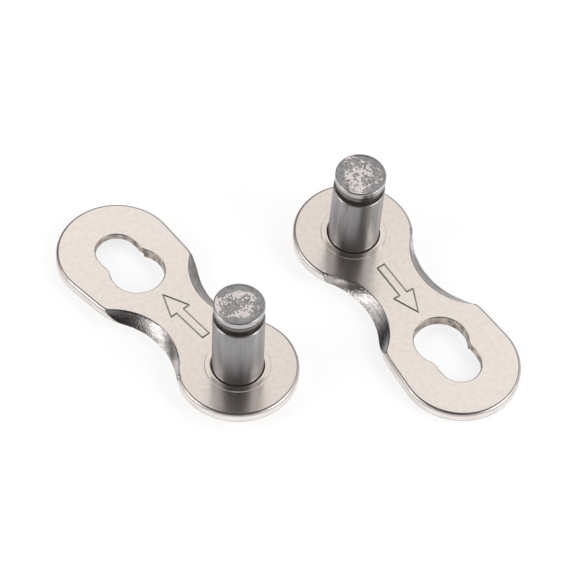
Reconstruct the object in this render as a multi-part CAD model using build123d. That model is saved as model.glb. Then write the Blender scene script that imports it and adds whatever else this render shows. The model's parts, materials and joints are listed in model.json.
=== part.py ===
from build123d import *
import math
import os

# Two-piece connecting link for a half-inch roller chain, lying open as its two equal halves.
# Each half is an outer link plate with a pin riveted in one end and a keyhole at the other.
# To close the link, the head of each pin goes through the wide end of the other half's keyhole
# and its neck slides into the narrow end, where the head sinks into a seat under the plate.
#
# Every piece is drawn in the frame of its own half: the origin on the pin's axis in the plane of
# the plate's underside, +X towards the keyhole, +Z up the pin. Sizes are in millimetres.

# Link plate
pitch = 12.7                # pin axis to the seat at the narrow end of the keyhole
plate_thickness = 0.8
lobe_radius = 4.17          # both round ends
waist_half_width = 2.6
waist_radius = 5.4
shoulder_radius = 5.1       # where the waist swells into the keyhole end
shoulder_taper = 4.0        # degrees between the shoulder's flank and the plate's centre line
face_edge_round = 0.2       # round of the outer edge on the inner face, drawn over by the punch
underside_edge_break = 0.08

# Bevel coined on each side of the waist, on the inner face
bevel_width = 0.735         # across the inner face, at the middle of the waist
bevel_radius = 4.6          # of its edge on the inner face
bevel_shift = 0.35          # of that edge's centre towards the keyhole, past the waist's own centre
bevel_land = 0.15           # height of the plain wall left under the bevel

# Pin
shaft_radius = 1.76
shaft_length = 5.45         # from the plate's inner face to the shoulder, as wide as an inner link
shaft_edge_break = 0.06
rim_radius = 1.74           # widest part of the head
rim_height = 0.48
rim_edge_round = 0.1
collar_under_rim_radius = 1.67
collar_under_rim_height = 0.42
foot_height = 0.48          # riveted end, below the plate's underside
foot_overhang = 0.4         # how far the riveted metal spreads past the hole
foot_edge_break = 0.3
foot_dish_radius = 0.9      # hollow left by the riveting punch
foot_dish_depth = 0.12

# Fit of one half's pin in the other half's keyhole
head_clearance = 0.13       # round the rim, in the wide end
neck_clearance = 0.06       # round the neck, in the narrow end
groove_clearance = 0.03     # between the head and the seat, once the link is closed
neck_radius = 1.4
keyhole_reach = 2.2         # from the wide end's centre to the narrow end's centre
throat_round = 1.4          # of the two points between the wide end and the narrow end
keyhole_edge_break = 0.08
seat_depth = 0.33           # the head sinks this far into the underside
seat_clearance = 0.14       # round the rim, in the seat

# Joint of pin and plate
boss_width = 0.5            # raised ring round the pin, on the inner face
boss_height = 0.05
boss_edge_break = 0.03
stem_radius = 1.58          # of the pin where it goes through the plate
hole_edge_break = 0.09      # leaves a fine groove round the foot of the shaft, which stands in it

# How the two halves lie
plates_gap = 4.88           # between the two pin ends, measured across the row
pins_offset = 4.24          # from one pin to the other, measured along the row
lie_angle = 3.43            # degrees that each half is turned from the row

# Sizes that follow
wide_radius = rim_radius + head_clearance
narrow_radius = neck_radius + neck_clearance
seat_radius = rim_radius + seat_clearance
boss_radius = shaft_radius + boss_width
foot_radius = stem_radius + foot_overhang
shaft_base = plate_thickness + boss_height - hole_edge_break
shoulder_height = plate_thickness + shaft_length
groove_width = plate_thickness - seat_depth + groove_clearance
head_height = shoulder_height + groove_width
rim_base = head_height + collar_under_rim_height
pin_top = rim_base + rim_height


def waist_centre():
    """Centre of the waist's arc on the +Y side: it touches the pin end's circle from outside."""
    y = waist_half_width + waist_radius
    x = math.sqrt((lobe_radius + waist_radius) ** 2 - y ** 2)
    return Vector(x, y)


def shoulder_centre():
    """Centre of the shoulder's arc, which touches the flank from inside and the waist's arc."""
    flank = math.radians(90 + shoulder_taper)
    outward = Vector(math.cos(flank), math.sin(flank))
    along = Vector(-math.sin(flank), math.cos(flank))
    start = Vector(pitch, 0) + outward * (lobe_radius - shoulder_radius)
    away = start - waist_centre()
    reach = waist_radius + shoulder_radius
    middle = away.dot(along)
    step = -middle - math.sqrt(middle ** 2 - away.dot(away) + reach ** 2)
    return start + along * step


def bearing(start, end):
    """Direction from one point to another, in degrees from +X."""
    return math.degrees(math.atan2(end.Y - start.Y, end.X - start.X))


def plate_outline():
    """Face of the plate seen from above: two round ends, a waist and the shoulders between."""
    waist = waist_centre()
    shoulder = shoulder_centre()
    flank_angle = 90 + shoulder_taper
    pin_end_angle = bearing(Vector(0, 0), waist)
    waist_end = bearing(waist, shoulder)
    waist_start = pin_end_angle - 180
    shoulder_start = waist_end + 180
    outward = Vector(math.cos(math.radians(flank_angle)), math.sin(math.radians(flank_angle)))
    upper = [
        CenterArc(waist, waist_radius, waist_start, waist_end - waist_start),
        CenterArc(shoulder, shoulder_radius, shoulder_start, flank_angle - shoulder_start),
        Line(shoulder + outward * shoulder_radius, Vector(pitch, 0) + outward * lobe_radius),
    ]
    lower = [mirror(edge, about=Plane.XZ) for edge in upper]
    ends = [
        CenterArc((0, 0), lobe_radius, pin_end_angle, 360 - 2 * pin_end_angle),
        CenterArc((pitch, 0), lobe_radius, -flank_angle, 2 * flank_angle),
    ]
    return make_face(Curve() + upper + lower + ends)


def keyhole_outline():
    """Face of the keyhole: a round wide end and a slot, with the two points between rounded."""
    wide_x = pitch - keyhole_reach
    slot = Pos(pitch - keyhole_reach / 2, 0) * Rectangle(keyhole_reach, 2 * narrow_radius)
    keyhole = Pos(wide_x, 0) * Circle(wide_radius) + slot + Pos(pitch, 0) * Circle(narrow_radius)
    points_x = wide_x + math.sqrt(wide_radius ** 2 - narrow_radius ** 2)
    points = keyhole.vertices().filter_by_position(Axis.X, points_x - 0.01, points_x + 0.01)
    return fillet(points, throat_round)


def bevel_cutter():
    """Oblique cone whose side is the bevel: level sections are circles, and their radius and
    centre change evenly with height from the waist's own arc at the land to the edge above."""
    waist = waist_centre()
    edge_y = waist_half_width - bevel_width + bevel_radius
    sections = []
    for share in (-0.1, 1.2):
        height = bevel_land + share * (plate_thickness - bevel_land)
        x = waist.X + share * bevel_shift
        y = waist.Y + share * (edge_y - waist.Y)
        radius = waist_radius + share * (bevel_radius - waist_radius)
        sections.append(Pos(x, y, height) * Circle(radius))
    return loft(sections, ruled=True)


def make_plate():
    """Link plate of one half."""
    blank = extrude(plate_outline(), plate_thickness)
    blank = fillet(blank.edges().group_by(Axis.Z)[-1], face_edge_round)
    blank = chamfer(blank.edges().group_by(Axis.Z)[0], underside_edge_break)
    cutter = bevel_cutter()
    blank = blank - cutter - mirror(cutter, about=Plane.XZ)

    boss = Pos(0, 0, plate_thickness / 2) * extrude(Circle(boss_radius), plate_thickness / 2 + boss_height)
    boss = chamfer(boss.edges().group_by(Axis.Z)[-1], boss_edge_break)
    blank = blank + boss
    blank = blank - extrude(Circle(stem_radius), plate_thickness + boss_height)
    rim = Pos(0, 0, shaft_base) * extrude(Circle(shaft_radius), hole_edge_break, taper=-45)
    blank = blank - rim

    keyhole = extrude(keyhole_outline(), plate_thickness)
    flare_base = Pos(0, 0, plate_thickness - keyhole_edge_break)
    flare = flare_base * extrude(keyhole_outline(), keyhole_edge_break, taper=-45)
    seat = Pos(pitch, 0, 0) * extrude(Circle(seat_radius), seat_depth)
    return blank - keyhole - flare - seat


def edge_of(pin, radius, height):
    """The pin's circular edge of a radius at a height."""
    circles = pin.edges().filter_by(GeomType.CIRCLE)
    return min(circles, key=lambda edge: abs(edge.radius - radius) + abs(edge.arc_center.Z - height))


def make_pin():
    """Pin of one half, turned about its axis: riveted foot, stem, shaft, neck and head."""
    profile = [
        (0, -foot_height + foot_dish_depth),
        (foot_dish_radius, -foot_height),
        (foot_radius, -foot_height),
        (foot_radius, 0),
        (stem_radius, 0),
        (stem_radius, shaft_base),
        (shaft_radius, shaft_base),
        (shaft_radius, shoulder_height),
        (neck_radius, shoulder_height),
        (neck_radius, head_height),
        (collar_under_rim_radius, head_height),
        (collar_under_rim_radius, rim_base),
        (rim_radius, rim_base),
        (rim_radius, pin_top),
        (0, pin_top),
    ]
    section = make_face(Plane.XZ * Polyline(profile, close=True))
    pin = revolve(section, Axis.Z)
    pin = fillet(edge_of(pin, rim_radius, pin_top), rim_edge_round)
    pin = chamfer(edge_of(pin, foot_radius, -foot_height), foot_edge_break)
    return chamfer(edge_of(pin, shaft_radius, shoulder_height), shaft_edge_break)


def resting_tilt():
    """Degrees that a half leans at rest: it stands on its riveted foot and the tip of its plate."""
    foot_contact = foot_radius - foot_edge_break
    tip_contact = pitch + lobe_radius - underside_edge_break
    return math.degrees(math.atan2(foot_height, tip_contact - foot_contact))


def lay_down(pieces, x, y, turn):
    """The pieces of one half, tilted to rest, turned about the pin and set on the ground."""
    lean = Rot(0, resting_tilt(), 0)
    lowest = min((lean * piece).bounding_box().min.Z for piece in pieces.values())
    place = Pos(x, y, -lowest) * Rot(0, 0, turn) * lean
    return {name: place * piece for name, piece in pieces.items()}


def make_link():
    """Both halves, with the origin under the middle of their common box."""
    plate = make_plate()
    pin = make_pin()
    pins_across = 2 * lobe_radius + plates_gap
    link = lay_down({"plate_a": plate, "pin_a": pin}, 0, 0, 180 + lie_angle)
    link.update(lay_down({"plate_b": plate, "pin_b": pin}, -pins_offset, pins_across, -lie_angle))
    box = Compound(list(link.values())).bounding_box()
    centre = Pos(-box.center().X, -box.center().Y, 0)
    return {name: centre * piece for name, piece in link.items()}


os.makedirs("parts", exist_ok=True)
for name, piece in make_link().items():
    export_step(piece, f"parts/{name}.step")
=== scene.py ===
import json
import math
import bmesh
import bpy
import numpy as np
from mathutils import Matrix, Vector


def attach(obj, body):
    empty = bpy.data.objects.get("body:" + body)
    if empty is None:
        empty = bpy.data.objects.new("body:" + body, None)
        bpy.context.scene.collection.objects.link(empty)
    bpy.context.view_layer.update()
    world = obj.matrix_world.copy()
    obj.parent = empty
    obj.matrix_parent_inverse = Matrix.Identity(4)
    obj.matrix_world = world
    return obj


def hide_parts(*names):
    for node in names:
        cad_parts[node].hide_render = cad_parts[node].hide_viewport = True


# Open connecting link of a half-inch roller chain: two nickel-plated halves, each a waisted plate with a
# riveted pin. Lengths are millimetres in the frame of one half: z is the pin's axis, x runs to the keyhole
# and z = 0 is the plate's underside. Each finished mesh is moved into the row frame, in metres.

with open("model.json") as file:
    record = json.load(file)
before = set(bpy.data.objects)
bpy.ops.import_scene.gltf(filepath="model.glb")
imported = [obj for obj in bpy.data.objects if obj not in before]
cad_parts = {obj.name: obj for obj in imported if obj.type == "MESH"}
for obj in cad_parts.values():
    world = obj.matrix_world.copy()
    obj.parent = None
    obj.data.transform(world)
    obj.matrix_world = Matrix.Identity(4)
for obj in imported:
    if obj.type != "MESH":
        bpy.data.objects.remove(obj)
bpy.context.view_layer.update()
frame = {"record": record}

mm = 0.001
weldGap = 0.0004            # points of neighbouring grids nearer than this, in mm, become one
noiseTable = 256            # lattice points of a noise before it repeats
layerShift = (7.3, -4.1)    # mm from one layer of a noise to the next, so that they don't line up


def span(start, end, steps):    # evenly spaced numbers along a new last axis
    start, end = np.broadcast_arrays(np.asarray(start, float), np.asarray(end, float))
    share = np.linspace(0, 1, steps + 1)
    return start[..., None] * (1 - share) + end[..., None] * share


def ease(value, start, end):    # 0 before start, 1 after end, smooth between: 3t^2 - 2t^3
    t = np.clip((value - start) / (end - start), 0, 1)
    return t * t * (3 - 2 * t)


def band(value, riseStart, riseEnd, fallStart, fallEnd):    # 0 outside a band, 1 in its middle
    return ease(value, riseStart, riseEnd) * (1 - ease(value, fallStart, fallEnd))


def latticeNoise(x, y, size, seed):    # random heights in -1..1 at lattice points, eased between them
    table = np.random.default_rng(seed).uniform(-1, 1, (noiseTable, noiseTable))
    a, b = np.asarray(x) / size, np.asarray(y) / size
    i, j = np.floor(a).astype(int), np.floor(b).astype(int)
    p, q = ease(a - i, 0, 1), ease(b - j, 0, 1)
    near, far = i % noiseTable, (i + 1) % noiseTable
    under, over = j % noiseTable, (j + 1) % noiseTable
    low = table[near, under] * (1 - p) + table[far, under] * p
    high = table[near, over] * (1 - p) + table[far, over] * p
    return low * (1 - q) + high * q


def layeredNoise(x, y, size, layers, seed):    # sum of noises, each half the size and height of the last
    total = np.zeros(np.broadcast(x, y).shape)
    for k in range(layers):
        shifted = x + layerShift[0] * k, y + layerShift[1] * k
        total += latticeNoise(*shifted, size / 2 ** k, seed + k) / 2 ** k
    return total


def makePatch(x, y, z, u, v, finish, mark=0.0):    # a grid of points with pattern coordinates in mm
    x, y, z, u, v, mark = np.broadcast_arrays(x, y, z, u, v, mark)
    return {"points": np.stack([x, y, z], -1), "uv": np.stack([u, v], -1), "mark": mark, "finish": finish}


def gridQuads(rows, columns):    # the four corners of each cell of a grid
    corner = np.arange(rows - 1)[:, None] * columns + np.arange(columns - 1)
    return np.stack([corner, corner + columns, corner + columns + 1, corner + 1], -1).reshape(-1, 4)


def makePiece(name, patches, place, sharpAngle):
    # One closed mesh from grids that share their edges: joined where their points meet, facing outwards,
    # and moved from its half's frame to its place in the row. A face's material is its patch's finish.
    points = np.concatenate([p["points"].reshape(-1, 3) for p in patches])
    uv = np.concatenate([p["uv"].reshape(-1, 2) for p in patches])
    marks = np.concatenate([p["mark"].ravel() for p in patches])
    finishes = sorted({p["finish"] for p in patches})
    quads, slots, start = [], [], 0
    for p in patches:
        rows, columns = p["mark"].shape
        cells = gridQuads(rows, columns) + start
        quads.append(cells)
        slots.append(np.full(len(cells), finishes.index(p["finish"])))
        start += rows * columns
    quads = np.concatenate(quads)
    mesh = bpy.data.meshes.new(name)
    mesh.from_pydata(points, [], quads)
    mesh.polygons.foreach_set("material_index", np.concatenate(slots).astype(np.int32))
    mesh.uv_layers.new(name="flow").uv.foreach_set("vector", uv[quads.ravel()].astype(np.float32).ravel())
    mesh.attributes.new("mark", "FLOAT", "POINT").data.foreach_set("value", marks.astype(np.float32))
    bm = bmesh.new()
    bm.from_mesh(mesh)
    bmesh.ops.remove_doubles(bm, verts=bm.verts, dist=weldGap)
    bmesh.ops.dissolve_degenerate(bm, edges=bm.edges, dist=weldGap)
    bmesh.ops.recalc_face_normals(bm, faces=bm.faces)
    bm.to_mesh(mesh)
    bm.free()
    for finish in finishes:
        mesh.materials.append(bpy.data.materials[finish])
    mesh.shade_smooth()
    mesh.set_sharp_from_angle(angle=math.radians(sharpAngle))
    mesh.transform(place @ Matrix.Scale(mm, 4))
    piece = bpy.data.objects.new(name, mesh)
    bpy.context.scene.collection.objects.link(piece)
    return piece


def addNode(tree, kind, inputs, **settings):    # inputs by name or number: a value or a node's output
    node = tree.nodes.new("ShaderNode" + kind)
    for key, value in settings.items():
        setattr(node, key, value)
    for key, value in inputs.items():
        if isinstance(value, bpy.types.NodeSocket):
            tree.links.new(value, node.inputs[key])
        else:
            node.inputs[key].default_value = value
    return node


def remap(tree, value, fromMin, fromMax, toMin, toMax):
    names = ("Value", "From Min", "From Max", "To Min", "To Max")
    inputs = dict(zip(names, (value, fromMin, fromMax, toMin, toMax)))
    return addNode(tree, "MapRange", inputs, interpolation_type="SMOOTHSTEP").outputs["Result"]


def blend(tree, share, low, high):    # mix of two colours, given as numbers or as outputs
    low, high = [(*c, 1) if isinstance(c, tuple) else c for c in (low, high)]
    mix = addNode(tree, "Mix", {"Factor": share}, data_type="RGBA")
    for name, colour in (("A_Color", low), ("B_Color", high)):
        socket = next(s for s in mix.inputs if s.identifier == name)
        if isinstance(colour, bpy.types.NodeSocket):
            tree.links.new(colour, socket)
        else:
            socket.default_value = colour
    return next(s for s in mix.outputs if s.identifier == "Result_Color")


def noiseOn(tree, vector, stretch, detail):    # noise of about one swing per mm, squeezed by stretch
    scaled = addNode(tree, "VectorMath", {0: vector, 1: stretch}, operation="MULTIPLY").outputs["Vector"]
    inputs = {"Vector": scaled, "Scale": 1.0, "Detail": detail}
    return addNode(tree, "TexNoise", inputs).outputs["Fac"]


metals = {
    "plated": {
        "dark": (0.735, 0.662, 0.605),
        "light": (0.865, 0.795, 0.735),
        # colour of the painted shade
        "shadeAndPlating": (0.10, 0.08, 0.07),
        "mottle": (2.7, 2.7, 1.0),       # swings per mm of the broad noise, along u and v
        "grain": (16.0, 16.0, 1.0),      # and of the fine one
        "sheenDrift": (-4.0, 17.0, 0.64),     # painted sheen: the tone lightens from one u to another, in mm, with this weight
        "rough": (0.17, 0.24),           # least and most
        "bump": 0.0016,                  # mm
    },
    "rounded": {
        "dark": (0.58, 0.53, 0.50),
        "light": (0.67, 0.615, 0.58),
        # colour of the painted shade
        "shadeAndPlating": (0.10, 0.08, 0.07),
        "mottle": (1.2, 1.0, 1.0),
        "grain": (1.5, 1.0, 1.0),
        "rough": (0.29, 0.34),
        "bump": 0.0,
    },
    "coined": {
        "dark": (0.20, 0.187, 0.181),
        "light": (0.32, 0.303, 0.296),
        "shadeAndPlating": (0.62, 0.57, 0.54),     # plating left at the bevel's start
        "mottle": (1.6, 6.0, 1.0),
        "grain": (8.0, 12.0, 1.0),
        "rough": (0.09, 0.22),
        "bump": 0.017,
    },
    "walled": {
        "dark": (0.84, 0.80, 0.765),
        "light": (0.95, 0.91, 0.875),
        # colour of the painted shade
        "shadeAndPlating": (0.10, 0.09, 0.08),
        "mottle": (0.8, 2.0, 1.0),
        "grain": (9.0, 3.0, 1.0),
        "rough": (0.2, 0.32),
        "bump": 0.003,
    },
    "punched": {
        "dark": (0.20, 0.168, 0.15),
        "light": (0.60, 0.53, 0.48),
        "shadeAndPlating": (0.08, 0.07, 0.06),
        "mottle": (2.8, 1.2, 1.0),
        "grain": (12.0, 3.0, 1.0),
        "rough": (0.28, 0.42),
        "bump": 0.01,
    },
    "ground": {
        "dark": (0.32, 0.311, 0.313),
        "light": (0.445, 0.433, 0.436),
        # colour of the painted shade
        "shadeAndPlating": (0.06, 0.05, 0.045),
        "mottle": (2.6, 0.22, 1.0),
        "grain": (1.2, 16.0, 1.0),
        "rough": (0.31, 0.37),
        "bump": 0.001,
        "spread": 0.85,                  # gloss drawn out across the grinding lines
    },
    "capped": {
        "dark": (0.45, 0.437, 0.432),
        "light": (0.58, 0.565, 0.56),
        # colour of the painted shade
        "shadeAndPlating": (0.08, 0.07, 0.065),
        "mottle": (1.6, 2.0, 1.0),
        "grain": (3.0, 14.0, 1.0),
        "rough": (0.2, 0.3),
        "bump": 0.002,
    },
    "collared": {
        "dark": (0.145, 0.136, 0.132),
        "light": (0.235, 0.225, 0.22),
        # colour of the painted shade
        "shadeAndPlating": (0.05, 0.045, 0.04),
        "mottle": (1.4, 3.0, 1.0),
        "grain": (3.0, 14.0, 1.0),
        "rough": (0.26, 0.36),
        "bump": 0.003,
    },
    "groove": {
        "dark": (0.21, 0.185, 0.17),
        "light": (0.34, 0.305, 0.285),
        # colour of the painted shade
        "shadeAndPlating": (0.06, 0.05, 0.045),
        "mottle": (1.5, 4.0, 1.0),
        "grain": (6.0, 16.0, 1.0),
        "rough": (0.35, 0.5),
        "bump": 0.01,
    },
    "headed": {
        "dark": (0.235, 0.23, 0.23),
        "light": (0.34, 0.333, 0.333),
        "shadeAndPlating": (0.74, 0.68, 0.655),    # plating left on the head
        "mottle": (2.4, 2.4, 1.0),
        "grain": (12.0, 12.0, 1.0),
        "rough": (0.2, 0.32),
        "bump": 0.005,
    },
}

pattern = {    # of the two noises on every metal
    "mottleDetail": 4.0,
    "mottleRange": (0.32, 0.68),    # noise levels at which the dark tone ends and the light one begins
    "grainDetail": 3.0,
    "grainRange": (0.3, 0.7),       # the same for the least and the most rough gloss
    "acrossLines": 0.25,            # turn of the drawn-out gloss, from along the flow map's u to across it
}


def makeMetal(name, s, noise):
    # Two tones mixed by a broad noise, with a fine grain in bump and gloss, and the mark's colour where the
    # piece is
    # marked: painted shade on most metals, plating left on the bevel and the head. All patterns lie on the
    # flow map,
    # in mm: u along the metal's working lines, v across them.
    material = bpy.data.materials.new(name)
    material.use_nodes = True
    tree = material.node_tree
    shader = tree.nodes["Principled BSDF"]
    vector = addNode(tree, "UVMap", {}, uv_map="flow").outputs["UV"]
    mottle = noiseOn(tree, vector, s["mottle"], noise["mottleDetail"])
    share = remap(tree, mottle, *noise["mottleRange"], 0.0, 1.0)
    # painted sheen, the tone lighter towards one end of the flow map's u
    if "sheenDrift" in s:
        start, end, weight = s["sheenDrift"]
        along = addNode(tree, "SeparateXYZ", {"Vector": vector}).outputs["X"]
        slope = remap(tree, along, start, end, 0.0, 1.0)
        share = addNode(tree, "Mix", {"Factor": weight, 2: share, 3: slope}).outputs[0]    # of two numbers
    grain = noiseOn(tree, vector, s["grain"], noise["grainDetail"])
    mark = addNode(tree, "Attribute", {}, attribute_name="mark").outputs["Fac"]
    tone = blend(tree, share, s["dark"], s["light"])
    # marked places take painted shade, or plating on the bevel and the head
    tree.links.new(blend(tree, mark, tone, s["shadeAndPlating"]), shader.inputs["Base Color"])
    tree.links.new(remap(tree, grain, *noise["grainRange"], *s["rough"]), shader.inputs["Roughness"])
    shader.inputs["Metallic"].default_value = 1.0
    if "spread" in s:
        lines = addNode(tree, "Tangent", {}, direction_type="UV_MAP", uv_map="flow").outputs["Tangent"]
        shader.inputs["Anisotropic"].default_value = s["spread"]
        shader.inputs["Anisotropic Rotation"].default_value = noise["acrossLines"]
        tree.links.new(lines, shader.inputs["Tangent"])
    if s["bump"]:
        bump = addNode(tree, "Bump", {"Height": grain, "Distance": s["bump"] * mm})
        tree.links.new(bump.outputs["Normal"], shader.inputs["Normal"])


for name, s in metals.items():
    makeMetal(name, s, pattern)
print("metals made")


plate = {
    "pitch": 12.7,             # from the pin's axis to the keyhole's narrow end
    "thickness": 0.8,
    "lobeRadius": 4.165,
    "waistHalfWidth": 2.6,
    "waistRadius": 5.4,
    "shoulderRadius": 5.1,
    "shoulderTaper": 4.0,      # degrees
    "faceRound": 0.2,
    "undersideBreak": 0.08,
    "bevelWidth": 0.735,       # on the face, at the middle of the waist
    "bevelRadius": 4.6,        # of its edge on the face
    "bevelShift": 0.35,        # of that edge's centre towards the keyhole
    "bevelLand": 0.15,         # plain wall left under the bevel
    "bevelRoll": 0.04,         # half the width of the rolled edge between the face and the bevel
    "rollParts": 3,            # where the bevel is narrow, the roll is its width over this
    "bevelHollow": 0.03,       # sag of the bevel's middle, where it is widest
    "stemRadius": 1.58,
    "shaftRadius": 1.76,
    "holeBreak": 0.09,
    "bossRadius": 2.26,        # ring raised round the pin
    "bossHeight": 0.05,
    "bossBreak": 0.03,
    "lipWidth": 0.08,          # burr thrown up round the shaft
    "lipHeight": 0.02,
    "wideRadius": 1.87,        # keyhole
    "narrowRadius": 1.46,
    "keyholeReach": 2.2,
    "throatRound": 1.4,
    "keyholeBreak": 0.08,
    "seatRadius": 1.88,
    "seatDepth": 0.33,
    # How strong the marks are, from 0 to 1, and where they lie: painted shade, and plating left on the
    # bevel.
    "edgeShade": 0.75,                    # painted shade: dark line where the face rolls over into its rounded edge
    "edgeBand": (0.5, 0.8, 0.85, 1.0),    # its sides, in shares of the rounded edge's width
    "breakShade": 0.5,                    # painted shade on the broken edge of the underside, next to the floor
    "wallShade": 0.8,                     # painted shade on the thin wall under the bevel
    "bossShade": 0.7,                     # painted shade: broken dark line at the foot of the raised ring
    "bossNoise": (0.6, 3, 5),             # size, layers and seed of the noise that breaks it
    "bossBreaks": (-0.4, 0.9),            # noise levels at which the line ends and is whole
    "platingFrom": 2.35,                  # the bevel keeps its plating up to this x at the face
    "platingTo": 3.7,                     # and up to this one at the bevel's outer side
    "platingBlur": 0.3,                   # it fades over this far on both sides
    "platingWidths": (0.08, 0.3),         # widths of the bevel between which the plating sets in
    # How the grids are laid out.
    "waistFrom": 2.6,          # the faces have columns of one x between these two
    "waistTo": 8.4,
    "markHalfHeight": 0.95,    # of the fine rows that hold the stamped mark
    "spinCentre": 11.3,        # x of the point from which the keyhole's grid spreads
    "coarseStep": 0.12,        # between points of the outline, on its ends and flanks
    "fineStep": 0.028,         # on the waist, and between rows in the stamped mark
    "shoulderStep": 0.056,
    "readStep": 0.01,          # between points of the keyhole's edge
    "depthSteps": 400,         # over the rounded edge, where the bevel's crossing is looked for
    "sideRows": 8,
    "ringSteps": 10,
    "bevelSteps": 12,
    "roundSteps": 8,
    "rollSteps": 4,
    "wallSteps": 4,
    "breakSteps": 2,
    "keyholeSteps": 5,
    "sharpAngle": 24.0,        # degrees past which an edge is drawn sharp
}

stampedMark = {    # an outlined arrow, pressed in between the pin and the keyhole
    "tail": 3.3,
    "neck": 6.0,
    "tip": 7.8,
    "shaftHalf": 0.3,
    "headHalf": 0.8,
    "lineHalf": 0.07,
    "depth": 0.03,
    # painted shade in the pressed line
    "paintedShade": 0.9,
}


def arcPoints(centre, radius, start, end, step):    # points and outward directions, degrees from +x
    count = max(2, math.ceil(abs(math.radians(end - start)) * abs(radius) / step))
    angle = np.radians(np.linspace(start, end, count + 1))
    out = np.stack([np.cos(angle), np.sin(angle)], -1)
    return np.array(centre) + radius * out, out


def outlineHalf(s):
    # Points and outward normals of the upper side, and the waist arc's centre: circle of the pin's end,
    # waist arc touching it from outside, shoulder arc touching the waist's arc and a straight flank,
    # flank, and circle of the keyhole's end.
    waist = np.array([0, s["waistHalfWidth"] + s["waistRadius"]])
    waist[0] = math.sqrt((s["lobeRadius"] + s["waistRadius"]) ** 2 - waist[1] ** 2)
    flank = math.radians(90 + s["shoulderTaper"])
    outward = np.array([math.cos(flank), math.sin(flank)])
    along = np.array([-math.sin(flank), math.cos(flank)])
    keyEnd = np.array([s["pitch"], 0])
    start = keyEnd + outward * (s["lobeRadius"] - s["shoulderRadius"])
    away = start - waist
    middle = away @ along
    reach = s["waistRadius"] + s["shoulderRadius"]
    shoulder = start + along * (-middle - math.sqrt(middle ** 2 - away @ away + reach ** 2))
    pinAngle = math.degrees(math.atan2(waist[1], waist[0]))
    turn = math.degrees(math.atan2(*(shoulder - waist)[::-1]))
    coarse = s["coarseStep"]
    parts = [arcPoints((0, 0), s["lobeRadius"], 180, pinAngle, coarse)]
    arc, out = arcPoints(waist, s["waistRadius"], pinAngle - 180, turn, s["fineStep"])
    parts.append((arc, -out))
    shoulderTurn = turn + 180, math.degrees(flank)
    parts.append(arcPoints(shoulder, s["shoulderRadius"], *shoulderTurn, s["shoulderStep"]))
    flankStart = shoulder + outward * s["shoulderRadius"]
    flankEnd = keyEnd + outward * s["lobeRadius"]
    steps = max(1, round(np.linalg.norm(flankEnd - flankStart) / coarse))
    line = flankStart + (flankEnd - flankStart) * np.linspace(0, 1, steps + 1)[:, None]
    parts.append((line, np.broadcast_to(outward, line.shape)))
    parts.append(arcPoints(keyEnd, s["lobeRadius"], math.degrees(flank), 0, coarse))
    points = np.concatenate([parts[0][0]] + [p[0][1:] for p in parts[1:]])
    normals = np.concatenate([parts[0][1]] + [p[1][1:] for p in parts[1:]])
    return points, normals, waist


def bevelEdge(s, waist):    # centre of the bevel's edge on the face
    return np.array([waist[0] + s["bevelShift"], s["waistHalfWidth"] - s["bevelWidth"] + s["bevelRadius"]])


def bevelHeight(s, waist, x, y):
    # The bevel's level lines are circles that move and shrink evenly from the waist's arc, at the land, to
    # the edge on the face. The share of the way at which one passes through (x, y) is the smaller root of a
    # quadratic; where none does, the bevel is out of reach.
    move = bevelEdge(s, waist) - waist
    shrink = s["bevelRadius"] - s["waistRadius"]
    px, py = x - waist[0], np.abs(y) - waist[1]
    a = move @ move - shrink ** 2
    b = px * move[0] + py * move[1] + s["waistRadius"] * shrink
    c = px ** 2 + py ** 2 - s["waistRadius"] ** 2
    room = b ** 2 - a * c
    share = np.where(room > 0, (b - np.sqrt(np.maximum(room, 0))) / a, np.inf)
    return s["bevelLand"] + share * (s["thickness"] - s["bevelLand"])


def roundHeight(s, depth):    # height of the face's rounded edge at a depth inside the outline
    gap = np.clip(s["faceRound"] - depth, 0, s["faceRound"])
    return s["thickness"] - s["faceRound"] + np.sqrt(s["faceRound"] ** 2 - gap ** 2)


def inside(points, normals, depth):    # x and y at a depth inside each outline point, along its normal
    return points[:, :1] - normals[:, :1] * depth, points[:, 1:] - normals[:, 1:] * depth


def rimHeight(s, waist, points, normals, depth):
    # Height of the rounded edge, or of the bevel where that is lower.
    bevel = bevelHeight(s, waist, *inside(points, normals, depth))
    return np.minimum(np.minimum(roundHeight(s, depth), bevel), s["thickness"])


def rimDepths(s, waist, points, normals):
    # How far inside each outline point the flat face ends, and how far the bevel gives way to the round.
    q = points - bevelEdge(s, waist)
    b = (q * normals).sum(-1)
    c = (q * q).sum(-1) - s["bevelRadius"] ** 2
    flatDepth = np.where(c < 0, b + np.sqrt(np.maximum(b ** 2 - c, 0)), 0)
    flatDepth = np.maximum(flatDepth, s["faceRound"])
    depth = np.linspace(0, s["faceRound"], s["depthSteps"] + 1)
    bevelBelow = bevelHeight(s, waist, *inside(points, normals, depth)) < roundHeight(s, depth)
    swapDepth = np.where(bevelBelow.any(axis=1), depth[np.argmax(bevelBelow, axis=1)], flatDepth)
    return flatDepth, np.minimum(swapDepth, flatDepth)


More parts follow.
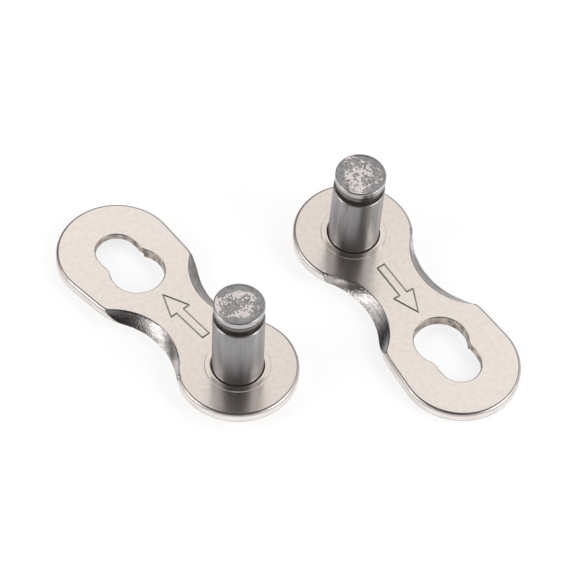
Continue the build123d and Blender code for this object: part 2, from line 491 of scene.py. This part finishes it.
def keyholeRadius(s, angle, grow):
    # Distance from the spin centre to the keyhole's edge: wide circle, rounded point and narrow circle are
    # laid out as points and read by direction. grow moves the edge into the metal.
    wide = s["pitch"] - s["keyholeReach"]
    big, small, tip = s["wideRadius"] + grow, s["narrowRadius"] + grow, s["throatRound"] - grow
    tipCentre = np.array([wide + math.sqrt((big + tip) ** 2 - (small + tip) ** 2), small + tip])
    lean = math.degrees(math.atan2(tipCentre[1], tipCentre[0] - wide))
    edges = [
        arcPoints((wide, 0), big, 180, lean, s["readStep"])[0],
        arcPoints(tipCentre, tip, lean - 180, -90, s["readStep"])[0],
        arcPoints((s["pitch"], 0), small, 90, 0, s["readStep"])[0],
    ]
    edge = np.concatenate(edges) - np.array([s["spinCentre"], 0])
    reach = np.hypot(edge[:, 0], edge[:, 1])
    bearing = np.arctan2(edge[:, 1], edge[:, 0])
    return np.interp(np.abs(angle), bearing[::-1], reach[::-1])


def seatRadiusAt(s, angle):    # distance from the spin centre to the seat's circle
    off = s["pitch"] - s["spinCentre"]
    return off * np.cos(angle) + np.sqrt(s["seatRadius"] ** 2 - (off * np.sin(angle)) ** 2)


def lineDistance(x, y, corners):    # distance to a closed line through corners
    best = np.full(np.broadcast(x, y).shape, np.inf)
    for a, b in zip(corners, np.roll(corners, -1, axis=0)):
        d = b - a
        t = np.clip(((x - a[0]) * d[0] + (y - a[1]) * d[1]) / (d @ d), 0, 1)
        best = np.minimum(best, np.hypot(x - a[0] - t * d[0], y - a[1] - t * d[1]))
    return best


def markShare(m, x, y):    # 0 off the mark, 1 in the middle of its line
    half = [(m["tail"], m["shaftHalf"]), (m["neck"], m["shaftHalf"]), (m["neck"], m["headHalf"])]
    corners = np.array(half + [(m["tip"], 0)] + [(a, -b) for a, b in half[::-1]])
    return 1 - ease(lineDistance(x, y, corners), 0, m["lineHalf"])


def faceLayout(s, ring, waistRange):
    # Points of a level face: a grid of columns over the waist, and the loops left of it and right of it.
    first, last = waistRange
    upper = ring[first:last + 1]
    half = s["markHalfHeight"]
    middle = np.linspace(-half, half, round(2 * half / s["fineStep"]) + 1)
    side = span(np.full(len(upper), half), upper[:, 1], s["sideRows"])[:, 1:]
    y = np.concatenate([-side[:, ::-1], np.broadcast_to(middle, (len(upper), len(middle))), side], 1)
    x = np.broadcast_to(upper[:, :1], y.shape)
    mirrored = ring * np.array([1, -1])
    left = np.concatenate([np.stack([x[0], y[0]], -1), ring[first - 1::-1], mirrored[1:first + 1]])
    right = np.concatenate([np.stack([x[-1], y[-1]], -1), ring[last + 1:], mirrored[-2:last - 1:-1]])
    return x, y, left, right


def ringAt(centre, angles, radius):
    return np.stack([centre + radius * np.cos(angles), radius * np.sin(angles)], -1)


def facePatches(s, layout, pinRing, keyRing, z, mark):
    x, y, left, right = layout
    share = markShare(mark, x, y) if mark else np.zeros(x.shape)
    depth = mark["depth"] if mark else 0.0
    # the pressed line is darkened with painted shade
    paintedShade = mark["paintedShade"] if mark else 0.0
    patches = [makePatch(x, y, z - depth * share, x, y, "plated", paintedShade * share)]
    for outer, hole in ((left, pinRing), (right, keyRing)):
        rings = span(hole, outer, s["ringSteps"])
        patches.append(makePatch(rings[:, 0], rings[:, 1], z, rings[:, 0], rings[:, 1], "plated"))
    return patches


def turnedPatches(centre, angles, around, profile):
    # Rings joined in turn. Each row of the profile has the radius and height at both ends of a stretch, its
    # steps, its finish and its mark.
    patches = []
    for r0, z0, r1, z1, steps, finish, mark in profile:
        r, z = span(r0, r1, steps), span(z0, z1, steps)
        x = centre + r * np.cos(angles)[:, None]
        y = r * np.sin(angles)[:, None]
        u, v = (x, y) if finish == "plated" else (around[:, None], z)
        patches.append(makePatch(x, y, z, u, v, finish, mark))
    return patches


def rimStrips(s, waist, points, normals, flatDepth, swapDepth, roll):
    # Strips along the outline: bevel, rounded edge, rolled edge between face and bevel, wall, and the
    # underside's broken edge. Each has its depth inside the outline, height, pattern height, finish and
    # mark: plating left on the bevel, painted shade on the rounded edge, the wall and the broken edge.
    # The broken edge's painted shade ends in 0, as the wide cells of the underside would smear it.
    width = (flatDepth - swapDepth)[:, None]
    bevelDepth = span(flatDepth - roll, swapDepth, s["bevelSteps"])
    across = np.linspace(0, 1, s["bevelSteps"] + 1)
    sag = 4 * across * (1 - across) * width * s["bevelHollow"] / s["bevelWidth"]    # a parabola
    bevelZ = rimHeight(s, waist, points, normals, bevelDepth) - sag
    platingEnd = s["platingTo"] + (s["platingFrom"] - s["platingTo"]) * bevelDepth / s["bevelWidth"]
    bevelX = inside(points, normals, bevelDepth)[0]
    bare = ease(bevelX, platingEnd - s["platingBlur"], platingEnd + s["platingBlur"])
    plating = ease(width, *s["platingWidths"]) * (1 - bare)

    startTurn = np.arcsin(np.clip(1 - swapDepth / s["faceRound"], 0, 1))
    roundDepth = s["faceRound"] * (1 - np.sin(span(startTurn, math.pi / 2, s["roundSteps"])))
    roundZ = rimHeight(s, waist, points, normals, roundDepth)
    # painted shade: a dark line along the rounded edge, just past the face
    edgeLine = s["edgeShade"] * band(roundDepth / s["faceRound"], *s["edgeBand"])

    t = np.linspace(0, 1, s["rollSteps"] + 1)    # a curve with its control point on the sharp edge itself
    rollDepth = flatDepth[:, None] + roll[:, None] * ((1 - t) ** 2 - t ** 2)
    rollZ = s["thickness"] + (bevelZ[:, :1] - s["thickness"]) * t ** 2

    wallZ = span(roundZ[:, -1], s["undersideBreak"], s["wallSteps"])
    # painted shade, strongest where the wall under the bevel is lowest
    thin = s["wallShade"] * (1 - ease(roundZ[:, -1:], s["bevelLand"], s["thickness"] / 2))
    # painted shade at the wall's foot and on the underside's broken edge, by the floor
    bottom = s["breakShade"] * (wallZ <= s["undersideBreak"])

    breakDepth = span(np.zeros(len(points)), s["undersideBreak"], s["breakSteps"])
    breakZ = s["undersideBreak"] - breakDepth
    breakLine = s["breakShade"] * (np.arange(s["breakSteps"] + 1) < s["breakSteps"])
    return [
        (bevelDepth, bevelZ, bevelDepth, "coined", plating),
        (roundDepth, roundZ, roundDepth, "rounded", edgeLine),
        (rollDepth, rollZ, rollDepth, "coined", 0),
        (0 * wallZ, wallZ, -wallZ, "walled", np.maximum(thin, bottom)),
        (breakDepth, breakZ, -breakZ, "walled", breakLine),
    ]


def bossRows(s, angles):    # profile of the raised ring, the burr round the shaft and the pin's hole
    top = s["thickness"] + s["bossHeight"]
    bossTop = s["bossRadius"] - s["bossBreak"]
    ringShadeTo = bossTop - s["bossBreak"]
    base = top - s["holeBreak"]
    mouth = s["shaftRadius"] + s["holeBreak"]
    lipFrom, lipTop = mouth + s["lipWidth"], top + s["lipHeight"]
    x, y = np.cos(angles) * s["bossRadius"], np.sin(angles) * s["bossRadius"]
    # painted shade round the raised ring's edge, broken up by noise
    ringShade = s["bossShade"] * ease(layeredNoise(x, y, *s["bossNoise"]), *s["bossBreaks"])[:, None]
    return [
        (s["bossRadius"], s["thickness"], bossTop, top, 2, "plated", ringShade * (0, 1, 1)),
        (bossTop, top, ringShadeTo, top, 1, "plated", ringShade * (1, 0)),
        (ringShadeTo, top, lipFrom, top, 4, "plated", 0),
        (lipFrom, top, mouth, lipTop, 2, "plated", 0),
        (mouth, lipTop, s["shaftRadius"], base, 3, "punched", 0),
        (s["shaftRadius"], base, s["stemRadius"], base, 2, "punched", 0),
        (s["stemRadius"], base, s["stemRadius"], 0, 4, "punched", 0),
    ]


def keyholeRows(s, top, key, seat):
    # Profile of the keyhole: a quarter of an ellipse from the face down into the hole, in chords, then the
    # wall, and the seat under it.
    face, lip, steps = s["thickness"], s["thickness"] - s["keyholeBreak"], s["keyholeSteps"]
    turn = np.linspace(0, math.pi / 2, steps + 1)
    rings = [(key + (top - key) * (1 - math.sin(t)), lip + (face - lip) * math.cos(t)) for t in turn]
    # the rolled edge takes the darker punched finish, painted shade that keeps the highlight off it
    return [(*a, *b, 1, "punched", 0) for a, b in zip(rings, rings[1:])] + [
        (key, lip, key, s["seatDepth"], 5, "punched", 0),
        (key, s["seatDepth"], seat, s["seatDepth"], 3, "punched", 0),
        (seat, s["seatDepth"], seat, 0, 3, "punched", 0),
    ]


def platePatches(s, mark):
    points, normals, waist = outlineHalf(s)
    flatDepth, swapDepth = rimDepths(s, waist, points, normals)
    roll = np.minimum(s["bevelRoll"], (flatDepth - swapDepth) / s["rollParts"])
    length = np.concatenate([[0], np.cumsum(np.linalg.norm(np.diff(points, axis=0), axis=1))])
    patches = []
    for depth, z, v, finish, marks in rimStrips(s, waist, points, normals, flatDepth, swapDepth, roll):
        x, y = inside(points, normals, depth)
        for side in (1, -1):
            patches.append(makePatch(x, side * y, z, side * length[:, None], v, finish, marks))

    faceRing = points - normals * (flatDepth + roll)[:, None]
    underRing = points - normals * s["undersideBreak"]
    faceRing[[0, -1], 1] = 0
    underRing[[0, -1], 1] = 0
    inWaist = np.nonzero((faceRing[:, 0] >= s["waistFrom"]) & (faceRing[:, 0] <= s["waistTo"]))[0]
    waistRange = inWaist[0], inWaist[-1]
    faceLay = faceLayout(s, faceRing, waistRange)
    underLay = faceLayout(s, underRing, waistRange)
    pinAngles = np.arctan2(faceLay[2][:, 1], faceLay[2][:, 0])
    keyAngles = np.arctan2(faceLay[3][:, 1], faceLay[3][:, 0] - s["spinCentre"])
    key = keyholeRadius(s, keyAngles, 0)
    keyTop = keyholeRadius(s, keyAngles, s["keyholeBreak"])
    seat = np.maximum(key, seatRadiusAt(s, keyAngles))
    patches += facePatches(s, faceLay, ringAt(0, pinAngles, s["bossRadius"]),
                           ringAt(s["spinCentre"], keyAngles, keyTop), s["thickness"], mark)
    patches += facePatches(s, underLay, ringAt(0, pinAngles, s["stemRadius"]),
                           ringAt(s["spinCentre"], keyAngles, seat), 0.0, None)

    aroundPin = pinAngles * s["shaftRadius"]
    turned = np.abs(np.diff(np.unwrap(keyAngles)))
    aroundKey = np.cumsum(np.concatenate([[0], turned])) * s["narrowRadius"]
    patches += turnedPatches(0, pinAngles, aroundPin, bossRows(s, pinAngles))
    patches += turnedPatches(s["spinCentre"], keyAngles, aroundKey, keyholeRows(s, keyTop, key, seat))
    return patches


pin = {
    "stemRadius": 1.58,
    "shaftRadius": 1.76,
    "shaftBase": 0.76,
    "shoulderHeight": 6.25,
    "shaftBreak": 0.06,
    "neckRadius": 1.4,
    "headHeight": 6.75,
    "collarRadius": 1.67,
    "rimBase": 7.17,
    "rimRadius": 1.74,
    "rimRound": 0.1,
    "top": 7.649,
    "footHeight": 0.48,
    "footRadius": 1.98,
    "footBreak": 0.3,
    "dishRadius": 0.9,             # hollow of the riveting punch
    "dishDepth": 0.12,
    # Worn plating on the head: a patch with a ragged edge, broken by pits, on a top cut bare by the lathe.
    "seeds": {"a": 21, "b": 51},
    "seedStep": 20,                # between the seeds of one head's noises
    "skinDepth": 0.016,            # the plating stands this far over bare steel
    "skinReach": 0.78,             # share of the head's radius that it covers, on average
    "skinEdge": (-0.05, 0.08),     # how sharply it ends, in the same shares
    "raggedSize": 1.1,
    "raggedShare": 0.26,
    "raggedLayers": 5,
    "wornSize": 0.9,               # of the places where the plating has gone from the patch itself
    "wornRange": (-0.3, 1.1),      # noise levels at which such a place begins and is full
    "wornPits": 1.1,               # how much it adds to the pits' noise
    "pitSize": 0.13,
    "pitRange": (0.15, 0.95),
    "pitLayers": 3,
    "pitDepth": 0.022,
    "pitBare": 0.92,               # share of the plating that a full pit has lost
    "headBorder": 0.12,            # width over which the head's surface comes back to its plane
    # How strong the painted shade is, from 0 to 1, and where it lies.
    "paintedShade": 0.9,                   # painted shade: dark line at the shaft's foot, and a painted shadow under the rim
    "shadeEdge": 0.06,              # the foot's line is full up to this height over the shaft's base
    "shadeHeight": 0.16,            # and ends at this one
    "footShade": 0.3,              # weaker, over the foot's line
    "footShadeTop": 2.6,
    # the painted shadow under the rim reaches this far below it
    "rimShadowHeight": 0.32,
    "rimShadeLine": 0.6,                # painted shade: dark line where the head's face rolls over into the rim
    "rimBand": (0.3, 0.6, 0.8, 1.0),    # its sides, in shares of the round's radius, from the rim inwards
    # How the grid is laid out.
    "around": 320,
    "rimSteps": 8,
    "headSteps": 96,
    "sharpAngle": 24.0,            # degrees past which an edge is drawn sharp
}


def headSurface(s, x, y, seed):
    # How far the head's top lies under its plane, and the share of plating left on it.
    radius = np.hypot(x, y)
    ragged = layeredNoise(x, y, s["raggedSize"], s["raggedLayers"], seed)
    skin = ease(s["skinReach"] - radius / s["rimRadius"] + s["raggedShare"] * ragged, *s["skinEdge"])
    worn = ease(layeredNoise(x, y, s["wornSize"], s["pitLayers"], seed + s["seedStep"]), *s["wornRange"])
    pitted = layeredNoise(x, y, s["pitSize"], s["pitLayers"], seed + 2 * s["seedStep"])
    pits = ease(pitted + s["wornPits"] * worn, *s["pitRange"])
    flatTo = s["rimRadius"] - s["rimRound"]
    inner = 1 - ease(radius, flatTo - s["headBorder"], flatTo)
    sink = s["skinDepth"] * (1 - skin) + s["pitDepth"] * skin * pits
    return inner * sink, skin * (1 - s["pitBare"] * pits)


def pinProfile(s):
    # Radius and height from the foot's middle to the head's middle, as stretches that meet at sharp edges:
    # finish, steps, and the points at both ends.
    shaft, neck, rim, stem = s["shaftRadius"], s["neckRadius"], s["rimRadius"], s["stemRadius"]
    foot, shoulder, head, top = -s["footHeight"], s["shoulderHeight"], s["headHeight"], s["top"]
    flatTo = rim - s["rimRound"]
    corners = [
        ("ground", 6, (0, foot + s["dishDepth"]), (s["dishRadius"], foot)),
        ("ground", 6, (s["dishRadius"], foot), (s["footRadius"] - s["footBreak"], foot)),
        ("ground", 4, (s["footRadius"] - s["footBreak"], foot), (s["footRadius"], foot + s["footBreak"])),
        ("ground", 2, (s["footRadius"], foot + s["footBreak"]), (s["footRadius"], 0)),
        ("ground", 2, (s["footRadius"], 0), (stem, 0)),
        ("ground", 2, (stem, 0), (stem, s["shaftBase"])),
        ("ground", 1, (stem, s["shaftBase"]), (shaft, s["shaftBase"])),
        ("ground", 24, (shaft, s["shaftBase"]), (shaft, shoulder - s["shaftBreak"])),
        ("ground", 2, (shaft, shoulder - s["shaftBreak"]), (shaft - s["shaftBreak"], shoulder)),
        ("groove", 3, (shaft - s["shaftBreak"], shoulder), (neck, shoulder)),
        ("groove", 4, (neck, shoulder), (neck, head)),
        ("groove", 3, (neck, head), (s["collarRadius"], head)),
        ("collared", 8, (s["collarRadius"], head), (s["collarRadius"], s["rimBase"])),
        ("groove", 1, (s["collarRadius"], s["rimBase"]), (rim, s["rimBase"])),
        ("capped", 4, (rim, s["rimBase"]), (rim, top - s["rimRound"])),
    ]
    stretches = [(finish, span(start, end, steps).T) for finish, steps, start, end in corners]
    turn = np.linspace(0, math.pi / 2, s["rimSteps"] + 1)
    bend = np.stack([flatTo + s["rimRound"] * np.cos(turn), top - s["rimRound"] * (1 - np.sin(turn))], -1)
    return stretches + [("capped", bend), ("headed", span((flatTo, top), (0, top), s["headSteps"]).T)]


def pinMarks(s, r, z):    # painted shade at the shaft's foot, painted shadow under the rim, and a painted dark line round the head's face
    # painted shade at the foot and painted shadow under the rim
    foot = 1 - ease(z, s["shaftBase"] + s["shadeEdge"], s["shaftBase"] + s["shadeHeight"])
    shade = s["footShade"] * (1 - ease(z, s["shaftBase"], s["footShadeTop"]))
    foot = np.maximum(foot, shade) * (z >= s["shaftBase"])
    under = ease(z, s["rimBase"] - s["rimShadowHeight"], s["rimBase"]) * (z <= s["rimBase"])
    # painted shade on the rim's rounded edge
    line = s["rimShadeLine"] * band((s["rimRadius"] - r) / s["rimRound"], *s["rimBand"])
    paintedShade = s["paintedShade"] * np.where(z > s["shoulderHeight"], under, foot)
    return np.where(z > s["rimBase"], line, paintedShade)


def pinPatches(s, seed):    # the profile turned about the pin's axis, with the head's worn top sunk into it
    angle = np.linspace(0, 2 * math.pi, s["around"] + 1)
    patches, length = [], 0.0
    for finish, profile in pinProfile(s):
        r, z = profile[:, 0], profile[:, 1]
        v = length + np.concatenate([[0], np.cumsum(np.hypot(np.diff(r), np.diff(z)))])
        length = v[-1]
        x = r * np.cos(angle)[:, None]
        y = r * np.sin(angle)[:, None]
        if finish == "headed":
            sink, skin = headSurface(s, x, y, seed)
            patches.append(makePatch(x, y, z - sink, x, y, finish, skin))
        else:
            u = angle[:, None] * s["shaftRadius"]
            patches.append(makePatch(x, y, z, u, v, finish, pinMarks(s, r, z)))
    return patches


def halfPlace(letter):
    # Frame of one half, from its mounts: z along the shaft, x towards the point on the boss ring.
    mounts = {m["name"]: m for m in frame["record"]["mounts"]}
    shaft = mounts["shaft_" + letter]
    z = Vector(shaft["axis"]).normalized()
    across = Vector(mounts["boss_ring_" + letter]["pos_m"]) - Vector(shaft["pos_m"])
    drop = across.dot(z)
    x = (across - z * drop).normalized()
    bossTop = (plate["thickness"] + plate["bossHeight"]) * mm
    place = Matrix((x, z.cross(x), z)).transposed().to_4x4()
    place.translation = Vector(shaft["pos_m"]) + z * (drop - bossTop)
    return place


for letter in "ab":
    place = halfPlace(letter)
    made = makePiece("link_plate_" + letter, platePatches(plate, stampedMark), place, plate["sharpAngle"])
    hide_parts("plate_" + letter)
    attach(made, "root")
    print("plate", letter, len(made.data.polygons), "faces")
    made = makePiece("link_pin_" + letter, pinPatches(pin, pin["seeds"][letter]), place, pin["sharpAngle"])
    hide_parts("pin_" + letter)
    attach(made, "root")
    print("pin", letter, len(made.data.polygons), "faces")


view = {
    "target": (-1.734, 1.089, 0.0),    # mm
    "distance": 308.9,                 # mm
    "azimuth": 48.73,                  # degrees, from -y towards +x
    "elevation": 53.96,
    "roll": -4.39,
    "lens": 281.6,                     # mm, as is the sensor
    "sensor": 36,
    "clipStart": 0.01,                 # metres
}

studio = {
    "floorHalf": 1.5,                  # metres
    "floorColor": (0.42, 0.42, 0.42, 1),
    "floorGlow": (0.73, 0.66),         # what camera rays, and mirror rays, see on top of the lit floor
    "dome": 1.0,                       # radiance of the white dome
    "horizon": (8, 34, 0.55),          # degrees between which the dome brightens from this share to all
    "shades": [                        # azimuth, elevation, degrees it is full to and ends at, share
        (48.73, 67, 36, 49, 0.08),
        (-85, 8, 26, 48, 0.2),
    ],
}

softboxes = {    # degrees from the camera's azimuth, elevation, metres away, size, radiance
    "left": (-78, 28, 0.5, (0.46, 0.26), 0.95),
    "leftCore": (-70, 28, 0.49, (0.18, 0.12), 3.6),    # the bright middle, just in front of its softbox
    "right": (78, 26, 0.5, (0.42, 0.44), 1.0),
    "rightCore": (68, 29, 0.49, (0.18, 0.12), 3.8),
}


def direction(azimuth, elevation):
    a, e = math.radians(azimuth), math.radians(elevation)
    return Vector((math.sin(a) * math.cos(e), -math.cos(a) * math.cos(e), math.sin(e)))


def makeCamera(s):
    lens = bpy.data.cameras.new("camera")
    lens.lens = s["lens"]
    lens.sensor_width = s["sensor"]
    lens.clip_start = s["clipStart"]
    camera = bpy.data.objects.new("camera", lens)
    bpy.context.scene.collection.objects.link(camera)
    back = direction(s["azimuth"], s["elevation"])
    level = Vector((math.cos(math.radians(s["azimuth"])), math.sin(math.radians(s["azimuth"])), 0))
    right = Matrix.Rotation(math.radians(-s["roll"]), 3, back) @ level
    place = Matrix((right, back.cross(right), back)).transposed().to_4x4()
    place.translation = (Vector(s["target"]) + back * s["distance"]) * mm
    camera.matrix_world = place
    bpy.context.scene.camera = camera


def makeFloor(s):    # plain diffuse floor, whitened where the camera or a mirror looks at it
    half = s["floorHalf"]
    mesh = bpy.data.meshes.new("floor")
    corners = [(-half, -half, 0), (half, -half, 0), (half, half, 0), (-half, half, 0)]
    mesh.from_pydata(corners, [], [(0, 1, 2, 3)])
    material = bpy.data.materials.new("floor")
    material.use_nodes = True
    tree = material.node_tree
    tree.nodes.clear()
    rays = addNode(tree, "LightPath", {}).outputs
    mirrored = addNode(tree, "Math", {0: rays["Is Glossy Ray"], 1: rays["Is Transmission Ray"]},
                       operation="MAXIMUM").outputs[0]
    toCamera, toMirror = s["floorGlow"]
    seen = addNode(tree, "Math", {0: rays["Is Camera Ray"], 1: toCamera}, operation="MULTIPLY").outputs[0]
    inputs = {0: mirrored, 1: toMirror, 2: seen}
    strength = addNode(tree, "Math", inputs, operation="MULTIPLY_ADD").outputs[0]
    glow = addNode(tree, "Emission", {"Strength": strength}).outputs[0]
    matt = addNode(tree, "BsdfDiffuse", {"Color": s["floorColor"]}).outputs[0]
    both = addNode(tree, "AddShader", {0: matt, 1: glow}).outputs[0]
    addNode(tree, "OutputMaterial", {"Surface": both})
    mesh.materials.append(material)
    floor = bpy.data.objects.new("floor", mesh)
    bpy.context.scene.collection.objects.link(floor)


def makeWorld(s):    # white dome, darker at the horizon, over the camera and at one low side
    world = bpy.data.worlds.new("studio")
    world.use_nodes = True
    tree = world.node_tree
    way = addNode(tree, "TexCoord", {}).outputs["Generated"]
    height = addNode(tree, "SeparateXYZ", {"Vector": way}).outputs["Z"]
    low, high, share = s["horizon"]
    level = remap(tree, height, math.sin(math.radians(low)), math.sin(math.radians(high)), share, 1.0)
    for azimuth, elevation, middle, end, share in s["shades"]:
        inputs = {0: way, 1: direction(azimuth, elevation)}
        aim = addNode(tree, "VectorMath", inputs, operation="DOT_PRODUCT").outputs["Value"]
        shade = remap(tree, aim, math.cos(math.radians(end)), math.cos(math.radians(middle)), 1.0, share)
        level = addNode(tree, "Math", {0: level, 1: shade}, operation="MULTIPLY").outputs[0]
    level = addNode(tree, "Math", {0: level, 1: s["dome"]}, operation="MULTIPLY").outputs[0]
    seen = addNode(tree, "LightPath", {}).outputs["Is Camera Ray"]
    strength = addNode(tree, "Math", {0: level, 1: seen}, operation="MAXIMUM").outputs[0]
    background = tree.nodes["Background"]
    background.inputs["Color"].default_value = (1, 1, 1, 1)
    tree.links.new(strength, background.inputs["Strength"])
    bpy.context.scene.world = world


def makeSoftbox(name, azimuth, elevation, away, size, radiance):
    lamp = bpy.data.lights.new(name, "AREA")
    lamp.shape = "RECTANGLE"
    lamp.size, lamp.size_y = size
    lamp.energy = radiance * math.pi * size[0] * size[1]    # gives that radiance over the lamp's face
    softbox = bpy.data.objects.new(name, lamp)
    bpy.context.scene.collection.objects.link(softbox)
    back = direction(azimuth, elevation)
    softbox.location = back * away
    softbox.rotation_mode = "QUATERNION"
    softbox.rotation_quaternion = back.to_track_quat("Z", "Y")


makeCamera(view)
makeFloor(studio)
makeWorld(studio)
for name, (turn, *rest) in softboxes.items():
    makeSoftbox(name, view["azimuth"] + turn, *rest)
bpy.context.scene.view_settings.view_transform = "Standard"
print("studio made")
